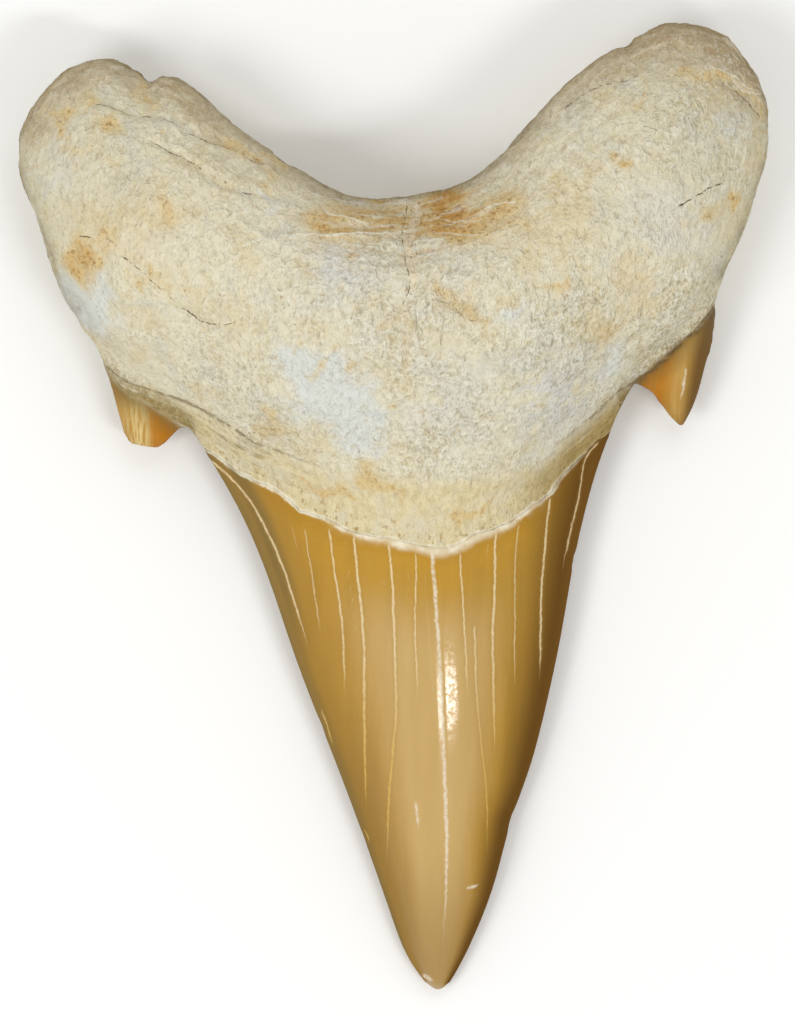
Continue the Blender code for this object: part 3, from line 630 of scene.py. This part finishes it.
def finishTooth(tooth):  # stores what the finish reads, then shapes the relief
    fields = measureTooth(tooth)
    places = readPlaces(tooth)
    plan, up = places[:, :2], fields["lingual"]
    cracks, under = list(crackLines.values()), list(underCracks.values())
    sets = {  # lines above and below, and where they fade; neighbouring cracks are in different sets
        "crack": (cracks[::2], under[::2], 0.7),
        "between": (cracks[1::2], under[1::2], 0.7),
        "vein": ([(veinLine, 1.0), *chipLines.values()], [], 0.6),
        "dark": (darkHairs.values(), [], 0.85),
        "pale": (paleHairs.values(), [], 0.85),
        "furrow": ([(furrowLine, 1.0)], [], 0.85),
    }
    for name, (above, below, fade) in sets.items():
        offset, strength = lineFields(plan, above, fade)
        offsetBelow, strengthBelow = lineFields(plan, below, fade)
        fields[name + "Offset"] = np.where(up > 0.5, offset, offsetBelow)
        fields[name + "Strength"] = np.where(up > 0.5, strength, strengthBelow)
    pushed = straggle(places)
    loose = plan + pushed
    above = np.maximum(blobs(loose, stains), streaks(plan + ragged["ofLines"] * pushed, stainLines))
    x, y = plan.T
    beyond, onRight = x - np.interp(y, *cuspletParts["middle"]), x > 0
    pale = hump(beyond, *cuspletParts["pale"]), hump(x, *cuspletParts["leftPale"])
    orange = ease(*cuspletParts["orange"], beyond), ease(*cuspletParts["leftOrange"], x)
    fields |= {
        "stain": np.maximum(up * above, (1 - up) * blobs(loose, underStains)),
        "chalk": up * blobs(loose, chalkParts),
        "grey": up * blobs(loose, greyParts),
        "rough": 0.3 + 0.7 * up * blobs(loose, roughParts),
        "margin": up * nearSides(plan),
        "pitted": up * streaks(plan, {"vein": pittedLine}),
        "cuspletDeep": ease(*cuspletParts["deep"], beyond),
        "cuspletPale": np.where(onRight, *pale),
        "cuspletOrange": np.where(onRight, *orange),
    }
    for name, values in fields.items():
        layer = tooth.data.attributes.new(name, "FLOAT", "POINT")
        layer.data.foreach_set("value", values.astype(np.float32))
    height = reliefOfBone(places, fields) + reliefOfEnamel(places, fields)
    writePlaces(tooth, places + readNormals(tooth) * height[:, None])
    nickEdges(tooth)
    editAll(tooth)
    bpy.ops.mesh.normals_make_consistent(inside=False)
    bpy.ops.object.mode_set(mode="OBJECT")
    bpy.ops.object.shade_smooth()


class Term:  # a shader socket that can stand in a sum
    def __init__(self, finish, socket):
        self.finish, self.socket = finish, socket

    def maths(self, operation, *values):
        return self.finish.node("ShaderNodeMath", {"operation": operation}, values)

    def __add__(self, other):
        return self.maths("ADD", self, other)

    def __sub__(self, other):
        return self.maths("SUBTRACT", self, other)

    def __rsub__(self, other):
        return self.maths("SUBTRACT", other, self)

    def __mul__(self, other):
        return self.maths("MULTIPLY", self, other)

    def __abs__(self):
        return self.maths("ABSOLUTE", self)

    __radd__, __rmul__ = __add__, __mul__


class Finish:
    def __init__(self, name):
        self.material = bpy.data.materials.new(name)
        self.material.use_nodes = True
        self.tree = self.material.node_tree
        self.tree.nodes.clear()
        objectPlaces = self.node("ShaderNodeTexCoord", {}, {}, output="Object")
        self.places = self.stretch(objectPlaces, (1 / mm,) * 3)

    def node(self, kind, settings, values, output=0):
        made = self.tree.nodes.new(kind)
        for name, value in settings.items():
            setattr(made, name, value)
        pairs = values.items() if isinstance(values, dict) else enumerate(values)
        for key, value in pairs:
            if isinstance(value, Term):
                self.tree.links.new(value.socket, made.inputs[key])
            else:
                made.inputs[key].default_value = value
        return Term(self, made.outputs[output]) if made.outputs else None

    def stretch(self, places, factors):
        return self.node("ShaderNodeVectorMath", {"operation": "MULTIPLY"}, [places, factors])

    def field(self, name):
        return self.node("ShaderNodeAttribute", {"attribute_name": name}, {}, output="Fac")

    def ease(self, low, high, value):
        values = {"Value": value, "From Min": low, "From Max": high}
        return self.node("ShaderNodeMapRange", {"interpolation_type": "SMOOTHSTEP"}, values)

    def grain(self, scale, detail=3.0, rough=0.55, twist=0.0, places=None):
        values = {"Vector": places or self.places, "Scale": scale, "Detail": detail}
        values.update({"Roughness": rough, "Distortion": twist})
        return self.node("ShaderNodeTexNoise", {}, values)

    def drawn(self, factors, detail=3.0, rough=0.6, twist=0.0):  # grain drawn out along some axes
        return self.grain(1.0, detail, rough, twist, self.stretch(self.places, factors))

    def patch(self, name):
        low, high, *grain = patches[name]
        return self.ease(low, high, self.grain(*grain))

    def axis(self, number):  # mm along x, y or z
        return self.node("ShaderNodeSeparateXYZ", {}, [self.places], output=number)

    def join(self, x, y):
        return self.node("ShaderNodeCombineXYZ", {}, [x, y])

    def blend(self, share, first, second, how="MIX"):
        settings = {"data_type": "RGBA", "blend_type": how}
        first, second = (c if isinstance(c, Term) else tone(*c) for c in (first, second))
        return self.node("ShaderNodeMix", settings, {0: share, 6: first, 7: second}, output=2)

    def bump(self, height):  # in mm
        return self.node("ShaderNodeBump", {}, {"Height": height, "Distance": mm, "Strength": 1.0})

    def surface(self, values):
        shader = self.node("ShaderNodeBsdfPrincipled", {}, values)
        self.node("ShaderNodeOutputMaterial", {}, {"Surface": shader})
        return self.material


class Paint:  # a colour made of layers, each laid over the last
    def __init__(self, finish, tones, ground):
        self.finish, self.tones, self.colour = finish, tones, tones[ground]

    def lay(self, share, colour, how="MIX"):  # one of its own tones by name, or any colour
        if isinstance(colour, str):
            colour = self.tones[colour]
        self.colour = self.finish.blend(share, self.colour, colour, how)


def tone(red, green, blue):  # a tone as a socket's colour
    share = [v / 255 for v in (red, green, blue)]
    return (*[v / 12.92 if v <= 0.04045 else ((v + 0.055) / 1.055) ** 2.4 for v in share], 1.0)


boneFinish = {  # tones as a screen shows them, then the rest
    "cream": (228, 220, 193),
    "straw": (218, 202, 158),
    "ash": (211, 208, 190),
    "chalk": (219, 221, 213),
    "grey": (215, 214, 204),
    "tint": (221, 200, 150),
    "shade": (243, 243, 241),  # painted shade: multiplies the lobes, which curve away
    "gold": (217, 184, 120),
    "rust": (198, 148, 80),
    "brown": (160, 120, 72),
    # painted shade, laid in the relief's hollows and along the bone's lip
    "hollowShade": (180, 164, 126),
    "seam": (186, 160, 116),
    "lining": (236, 220, 190),
    # partly dirt, partly painted shade along the root's far edge
    "dirtAndShade": (172, 153, 116),
    "hair": (108, 84, 56),
    "pale": (240, 236, 218),
    # painted shade: on the steep sides and in the line under the bone's lip
    "edge": (124, 108, 76),
    "lobes": ((46, 58), (24, 12), (13.5, 9.5)),  # where the lobes' painted shade lies: mm round the root's edge, right and left; from it
    "shore": (7.5, 4.5),  # mm from that edge, where the fibres show
    "roughness": 0.82,
    "depth": 0.6,  # mm, of the finest relief
}
patches = {  # noise: where it begins and is full, its scale, its detail, its roughness and its twist
    "straw": (0.46, 0.62, 0.33, 5, 0.65),
    "ash": (0.5, 0.66, 0.21, 4, 0.6, 1),
    "grey": (0.34, 0.52, 0.5, 4, 0.6),
    "flecks": (0.6, 0.7, 0.7, 5, 0.75),
    "spots": (0.7, 0.76, 1.7, 2, 0.6),
    "furrow": (0.32, 0.48, 2.2, 3, 0.6),
    "steep": (0.35, 0.6, 0.5, 5, 0.7),
    "rough": (0.2, 0.6, 0.3, 3, 0.6),
    "under": (0.36, 0.54, 1, 4, 0.7),
    "bandAsh": (0.45, 0.65, 0.5, 4, 0.6),
    "nearBone": (0.4, 0.6, 0.8, 3, 0.6),
    "brown": (0.5, 0.62, 2.4, 4, 0.7),
    "rim": (0.35, 0.6, 0.9),
    "halo": (0.3, 0.6, 0.7),
    "vein": (0.38, 0.56, 3.4, 3, 0.7),
    "pits": (0.53, 0.47, 2.8, 2, 0.6),
}
bandFinish = {
    "straw": (226, 212, 172),
    "tan": (204, 187, 142),
    "side": (174, 152, 101),
    "deep": (130, 112, 62),
    "speck": (160, 126, 76),
    "rim": (242, 235, 210),
    "nearBone": (-3.5, -0.5),  # mm past the bone's edge, where its fine layers show
    "ticks": (2.4, 0.6),  # mm from the enamel
}
enamelFinish = {
    "amber": (185, 142, 61),
    "honey": (176, 136, 58),
    "glow": (200, 167, 106),
    "collar": (192, 146, 56),
    "shore": (172, 126, 38),
    "side": (165, 127, 62),
    "lowSide": (150, 118, 64),
    "deep": (110, 78, 34),
    "flank": (126, 108, 67),
    "tip": (166, 132, 74),
    "crack": (230, 208, 162),
    "crackLow": (212, 176, 96),
    "vein": (228, 214, 188),
    "collarReach": (-5, -1),  # mm past its edge
    "shoreReach": (-1.7, -0.4),
    "glowReach": (-1.5, -9),
    "coatReach": (-7, -3.5),
    "tipReach": (-25, -36),  # along y
    "lowReach": (-13, -24),
    "yellowReach": (-9, -20),
    "shadeReach": (-13, -4),
    "roughness": 0.32,
    "depth": 0.03,
    "coat": 0.95,
    "coatRoughness": 0.12,
    "shine": 0,
}
lineHalves = {"crack": 0.14, "halo": 0.42, "vein": 0.22, "furrow": 0.5, "dark": 0.08, "pale": 0.12}  # mm
cuspletFinish = {
    "amber": (186, 144, 72),
    "pale": (221, 198, 137),
    "orange": (190, 124, 34),
    "deep": (88, 60, 24),
    "base": (104, 86, 48),
    "seam": (72, 60, 40),
}


def lineMask(f, name, width, wobble):  # 1 along a set's lines
    half, strength = lineHalves[width], f.field(name + "Strength")
    offset = abs(f.field(name + "Offset") + wobble)
    return f.ease(0, 0.7, strength) * f.ease(half, half * 0.2, offset + half * 0.6 * (1 - strength))


def boneColour(f, boneEdge, wrinkles, fine, rough):
    along, fromBasal, stained = f.field("alongRoot"), f.field("fromBasal"), f.field("stain")
    paint = Paint(f, boneFinish, "cream")
    paint.lay(f.patch("straw") * 0.6, "straw")
    paint.lay(f.patch("ash") * 0.6, "ash")
    paint.lay(f.field("grey") * f.patch("grey"), "grey")
    paint.lay(f.ease(0.2, 0.6, f.field("chalk") * (0.4 + f.grain(1.1, 5, 0.65))), "chalk")
    right, left, depth = boneFinish["lobes"]
    lobes = (f.ease(*right, along) + 0.6 * f.ease(*left, along)) * f.ease(*depth, fromBasal)
    # painted shade over the lobes, darker where they curve away
    paint.lay(lobes, "shade", "MULTIPLY")
    fibres = f.grain(1, 5, 0.65, places=f.join(along * 0.3, fromBasal * 2))
    # darker towards the root's far edge and over the lobes: partly dirt, partly painted shade where the
    # surface curves away
    dirtAndShade = f.ease(1, 0, (fromBasal + (f.grain(0.6, 5, 0.7) - 0.5) * 6) * (0.42 - lobes * 0.25))
    dirtAndShade = dirtAndShade * (0.5 + lobes * 0.5) * (1 - 0.8 * f.ease(0.2, 0.7, stained))
    paint.lay(dirtAndShade * 0.95, "dirtAndShade")
    paint.lay(dirtAndShade * f.ease(0.5, 0.6, fibres) * 0.7, "brown")
    paint.lay(dirtAndShade * f.ease(0.46, 0.38, fibres) * 0.5, "pale")
    # painted shade in the hollows of the relief and painted highlight on its crests, from the noises that
    # shape the bump
    paint.lay(f.ease(0.46, 0.36, wrinkles) * rough * 0.62, "hollowShade")
    paint.lay(f.ease(0.52, 0.64, wrinkles) * rough * 0.7, "pale")
    paint.lay(f.ease(0.47, 0.34, fine) * rough * 0.52, "hollowShade")
    paint.lay(f.ease(0.52, 0.64, fine) * rough * 0.5, "pale")
    layStains(f, paint, stained)
    shore = f.ease(*boneFinish["shore"], fromBasal) * rough
    paint.lay(f.ease(0.48, 0.38, fibres) * shore * 0.5, "rust")
    paint.lay(f.ease(0.53, 0.6, fibres) * shore * 0.6, "pale")
    layHairs(f, paint)
    # painted shade along the bone's lip where it meets the cusplets
    lip = (1 - f.field("clear")) * f.ease(1.3, 0.1, boneEdge) * (0.2 + 0.6 * f.ease(0.58, 0.4, fine))
    paint.lay(lip, "hollowShade")
    # painted shade on the steep sides, where they turn away from the light
    steep = f.field("steep") * f.ease(0.4, 1.6, boneEdge)
    paint.lay(steep * (0.3 + 0.4 * f.patch("steep")), "edge")
    return paint.colour


def layStains(f, paint, stained):
    speckle = f.grain(2.2, 3, 0.7)
    paint.lay(f.ease(0, 0.9, stained) * 0.55, "tint")
    stain = stained * (f.grain(0.9, 5, 0.75) * 0.9 + speckle * 1.1)
    paint.lay(f.ease(0.2, 1, stain) * 0.8, "gold")
    paint.lay(f.ease(0.65, 1.3, stain) * 0.9, "rust")
    paint.lay(f.ease(0.4, 0.8, stain) * f.ease(0.55, 0.64, speckle) * 0.6, "brown")
    paint.lay(f.patch("flecks") * 0.4, "gold")
    paint.lay(f.patch("spots") * 0.5, "brown")


def layHairs(f, paint):
    furrow = lineMask(f, "furrow", "furrow", (f.grain(1.3) - 0.5) * 0.4)
    lining = f.blend(f.patch("furrow"), boneFinish["seam"], boneFinish["lining"])
    paint.lay(furrow * 0.85, lining)
    broken = f.ease(0.36, 0.5, f.grain(1.7, 3, 0.7) + (f.field("darkStrength") - 1) * 0.24)
    paint.lay(lineMask(f, "dark", "dark", (f.grain(1.6) - 0.5) * 0.36) * broken, "hair")
    paint.lay(lineMask(f, "pale", "pale", (f.grain(1.3) - 0.5) * 0.5) * 0.8, "pale")


def bandPaint(f, edge, boneEdge):  # the ground that all else is laid on
    across = f.field("across")
    fine = f.drawn((2, 1.1, 1.1), 5, 0.7)
    paint = Paint(f, bandFinish, "straw")
    paint.lay(f.ease(0.38, 0.64, fine) * 0.8, "tan")
    paint.lay(f.patch("bandAsh") * 0.4, boneFinish["ash"])
    # darker towards the band's ends: partly a brown tint, partly painted shade where it turns away
    sides = f.ease(0.74, 0.94, across) + f.ease(0.06, -0.1, across) * 0.6
    paint.lay(sides, "side")
    upright = f.drawn((2.4, 0.35, 0.8))
    paint.lay(sides * f.ease(0.48, 0.6, upright) * 0.32, "deep")
    paint.lay((1 - f.field("clear")) * (0.3 + 0.4 * f.ease(0.36, 0.6, fine)), "deep")
    layers = f.grain(1, 3, 0.6, places=f.join(boneEdge * 2.8, across * 3))
    nearBone = f.ease(*bandFinish["nearBone"], boneEdge) * f.patch("nearBone")
    nearBone = nearBone * f.field("margin")
    paint.lay(f.ease(0.52, 0.6, layers) * nearBone * 0.6, "deep")
    paint.lay(f.ease(0.46, 0.38, layers) * nearBone * 0.6, "rim")
    ticks = f.ease(0.56, 0.66, f.drawn((2.6, 1.7, 1.7))) * f.ease(*bandFinish["ticks"], edge)
    paint.lay(ticks * 0.65, "speck")
    stain = f.ease(0.2, 0.75, f.field("stain") * (0.4 + f.grain(1.4, 5, 0.75)))
    paint.lay(stain * 0.85, boneFinish["gold"])
    paint.lay(stain * f.patch("brown") * 0.7, boneFinish["brown"])
    return paint


def enamelColour(f, edge):
    across, alongY = f.field("across"), f.axis(1)
    streaks = f.drawn((0.8, 0.06, 0.3), 4)
    paint = Paint(f, enamelFinish, "honey")
    paint.lay(f.ease(0.36, 0.64, streaks), "amber")
    glow = f.ease(0.16, 0.4, across) * f.ease(0.86, 0.62, across) * f.ease(*enamelFinish["glowReach"], edge)
    paint.lay(glow * (0.55 + 0.6 * streaks), "glow")
    cloud = f.grain(0.45, 4, 0.6)
    collar = f.ease(*enamelFinish["collarReach"], edge) * (0.3 + 0.6 * f.ease(0.35, 0.6, cloud))
    paint.lay(collar, "collar")
    paint.lay(f.ease(*enamelFinish["shoreReach"], edge) * f.ease(0.3, 0.55, cloud) * 0.6, "shore")
    paint.lay(f.ease(*enamelFinish["tipReach"], alongY) * 0.85, "tip")
    # darker towards both cutting edges and over the right flank: partly the thin enamel's own colour, partly
    # painted shade where the flanks turn from the light
    paint.lay(f.ease(0.22, 0.06, across) * 0.7, "side")
    paint.lay(f.ease(0.36, 0.14, across) * f.ease(*enamelFinish["lowReach"], alongY) * 0.6, "lowSide")
    shade = f.ease(0.02, 0.045, across) * f.ease(0.1, 0.06, across) * 0.7
    paint.lay(shade * f.ease(*enamelFinish["shadeReach"], alongY), "flank")
    paint.lay(f.ease(0.78, 0.98, across), "deep")
    paint.lay(f.ease(0.07, 0, across) * 0.8, "flank")
    return paint.colour


def layCracks(f, paint, enamel):  # the pale cracks, yellower lower down, and the broad vein
    wobble = (f.grain(0.7) - 0.5) * 0.22 + (f.grain(3) - 0.5) * 0.14
    both = ("crack", "halo")
    crack, halo = (lineMask(f, "crack", w, wobble) + lineMask(f, "between", w, wobble) for w in both)
    broken = f.ease(0.25, 0.55, f.drawn((1, 2.2, 1), 4, 0.7))
    crack = crack * (0.4 + 0.5 * broken) * enamel
    # painted shade: a darker fringe beside each crack
    paint.lay(halo * enamel * 0.25, enamelFinish["side"])
    yellow = f.ease(*enamelFinish["yellowReach"], f.axis(1))
    paint.lay(crack, f.blend(yellow, enamelFinish["crack"], enamelFinish["crackLow"]))
    # the vein's colour also lays the chips and the painted highlights of the chip lines
    vein = lineMask(f, "vein", "vein", (f.grain(1.2) - 0.5) * 0.3 + (f.grain(4) - 0.5) * 0.16)
    vein = vein * (0.5 + 0.5 * f.patch("vein")) * enamel
    paint.lay(vein * 0.9, enamelFinish["vein"])
    return crack + vein


def cuspletColour(f, edge):
    streaks = f.drawn((4, 0.3, 0.6))
    left, right = f.ease(0, -10, f.axis(0)), f.ease(0, 10, f.axis(0))
    paint = Paint(f, cuspletFinish, "amber")
    pale = f.ease(0.4, 0.58, streaks) * f.field("cuspletPale")
    paint.lay(pale * (0.2 + 0.72 * left), "pale")  # the left one is the streaky one
    paint.lay(f.field("cuspletOrange") * (0.75 + 0.2 * f.ease(0.56, 0.44, streaks)), "orange")
    paint.lay(f.field("cuspletDeep") * 0.82, "deep")
    # darker towards the bone: partly the cusplet's own brown base, partly painted shade under the bone's
    # edge; the seam is painted shade in the crease
    base = f.ease(-1.8, 0.1, edge + (streaks - 0.5) * 1.6)
    paint.lay(base * (0.6 - 0.05 * right), "base")
    seam = f.ease(-0.34, -0.1, edge) * f.ease(0.36, 0.26, f.grain(1.1, 3, 0.6) * (1 - right * 0.4))
    paint.lay(seam * 0.7, "seam")
    return paint.colour


def toothFinish():
    f = Finish("fossilToothFinish")
    cusplet, across = f.field("cusplet"), f.field("across")
    wander = (f.grain(0.6, 3, 0.5) - 0.5) * 0.7 + (f.grain(2, 3, 0.6) - 0.5) * 0.16
    edge = f.field("enamelEdge") + wander
    soft = 0.08 + cusplet * 0.5
    enamel = f.ease(soft, soft * -1, edge)
    boneEdge = f.field("boneEdge") + (f.grain(0.8, 4, 0.6) - 0.5) * (1.4 - 1.1 * f.field("margin"))
    bone = f.ease(-0.9, 0.5, boneEdge)
    wrinkles = f.drawn((1.9, 1.3, 1.5), twist=0.4)
    fine = f.drawn((4.4, 3, 3.6), 1, 0.5)
    rough = f.field("rough") * f.patch("rough") * (1.2 - 0.6 * f.field("chalk"))
    paint = bandPaint(f, edge, boneEdge)
    paint.lay(bone, boneColour(f, boneEdge, wrinkles, fine, rough))
    # painted shadow in the line under the bone's lip, deepest at the sides
    under = f.ease(-0.2, -0.08, boneEdge) * f.ease(0.08, -0.02, boneEdge) * f.field("margin")
    paint.lay(under * f.patch("under") * 0.7, boneFinish["edge"])
    paint.lay(enamel, enamelColour(f, edge))
    middle = f.ease(0.15, 0.55, across) * f.ease(0.95, 0.65, across)  # where the rim is broadest
    outside = f.ease(0.25, 0.05, edge)
    halo = middle * f.ease(-1, -0.15, edge) * outside * f.patch("halo")
    paint.lay(halo * 0.35, "rim")
    rim = f.ease(-0.25 - 0.6 * middle, -0.05 - 0.1 * middle, edge) * outside * (1 - cusplet)
    rim = rim * f.ease(1, 0.85, across) * (0.5 + 0.5 * f.patch("rim"))
    paint.lay(rim * 0.9, "rim")
    paint.lay(cusplet * enamel, cuspletColour(f, edge))
    crack = layCracks(f, paint, enamel)
    height = (wrinkles + fine * 0.3) * (0.55 + rough * 0.65) * (1 - enamel) * (0.6 + 0.4 * bone)
    ripple = f.drawn((2.4, 0.5, 0.8)) * enamel
    pits = f.field("pitted") * f.patch("pits")
    gloss = enamel * (1 - crack * 0.5) * (1 - rim * 0.6) * (1 - pits * 0.72)
    dull = f.ease(0.68, 0.86, across) + f.ease(0.28, 0.1, across) + f.ease(*enamelFinish["coatReach"], edge)
    dull = f.node("ShaderNodeMath", {"operation": "MINIMUM"}, [dull, 1]) * (1 - cusplet) + cusplet * 0.85
    return f.surface({
        "Base Color": paint.colour,
        "Roughness": boneFinish["roughness"] + (enamelFinish["roughness"] - boneFinish["roughness"]) * gloss,
        "Coat Weight": gloss * (1 - dull) * enamelFinish["coat"],
        "Coat Roughness": enamelFinish["coatRoughness"],
        "Specular IOR Level": enamelFinish["shine"],
        "Normal": f.bump(height * boneFinish["depth"] + ripple * enamelFinish["depth"]),
    })


tooth = copyTooth()
refineAbove(tooth)
softenBlade(tooth)
print("mesh ready")
finishTooth(tooth)
print("relief made")
tooth.data.materials.append(toothFinish())
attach(tooth, "root")
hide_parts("tooth")
tooth.data.calc_loop_triangles()
print("tooth", len(tooth.data.loop_triangles), "triangles")


studio = {  # places and sizes in mm
    "floorSize": 1600,
    "floorHeight": -0.1,
    "floor": tone(250, 250, 248),
    "sky": 0.58,
    "key": {"place": (-240, -120, 400), "size": (190, 190), "watts": 0.66, "mirrored": False},
    "lamp": {"place": (225, -203, 430), "size": (210, 40), "watts": 0.55, "mirrored": True},
    "fill": {"place": (60, 260, 400), "size": (300, 300), "watts": 0.3, "mirrored": False},
    "cameraHeight": 500,  # mm over the level of the outline
    "outlineLevel": 5.5,
    "pictureHeight": 1021 / 12.8,  # mm of that level that the picture's height takes in
    "middle": (0.35, -0.12),
}


def makeFloor():
    bpy.ops.object.select_all(action="DESELECT")
    place = (0, 0, studio["floorHeight"] * mm)
    bpy.ops.mesh.primitive_plane_add(size=studio["floorSize"] * mm, location=place)
    floor = bpy.context.active_object
    floor.name = "paleFloor"
    bpy.ops.object.transform_apply()
    f = Finish("paleFloorFinish")
    floor.data.materials.append(f.surface({"Base Color": studio["floor"], "Roughness": 0.7}))


def addLight(name, values):
    place = Vector(values["place"]) * mm
    bpy.ops.object.light_add(type="AREA", location=place)
    light = bpy.context.active_object
    light.name = name
    back = place.normalized()
    right = (Vector((1, 0, 0)) - back * back.x).normalized()  # its width lies along the ground's x
    light.rotation_euler = Matrix((right, back.cross(right), back)).transposed().to_euler()
    light.data.shape = "ELLIPSE"
    light.data.size, light.data.size_y = [v * mm for v in values["size"]]
    light.data.energy = values["watts"]
    light.visible_glossy = values["mirrored"]  # whether the enamel shows its reflection


def addCamera():
    height = (studio["outlineLevel"] + studio["cameraHeight"]) * mm
    bpy.ops.object.camera_add(location=(*[v * mm for v in studio["middle"]], height))
    camera = bpy.context.active_object
    camera.data.lens = camera.data.sensor_width * studio["cameraHeight"] / studio["pictureHeight"]
    camera.data.clip_start = 0.01
    bpy.context.scene.camera = camera


makeFloor()
for name in ("key", "lamp", "fill"):
    addLight(name, studio[name])
world = bpy.data.worlds.new("studioSky")
world.use_nodes = True
sky = world.node_tree.nodes["Background"].inputs
sky["Color"].default_value = (1, 1, 1, 1)
sky["Strength"].default_value = studio["sky"]
bpy.context.scene.world = world
bpy.context.scene.view_settings.view_transform = "Standard"
addCamera()
print("stage ready")
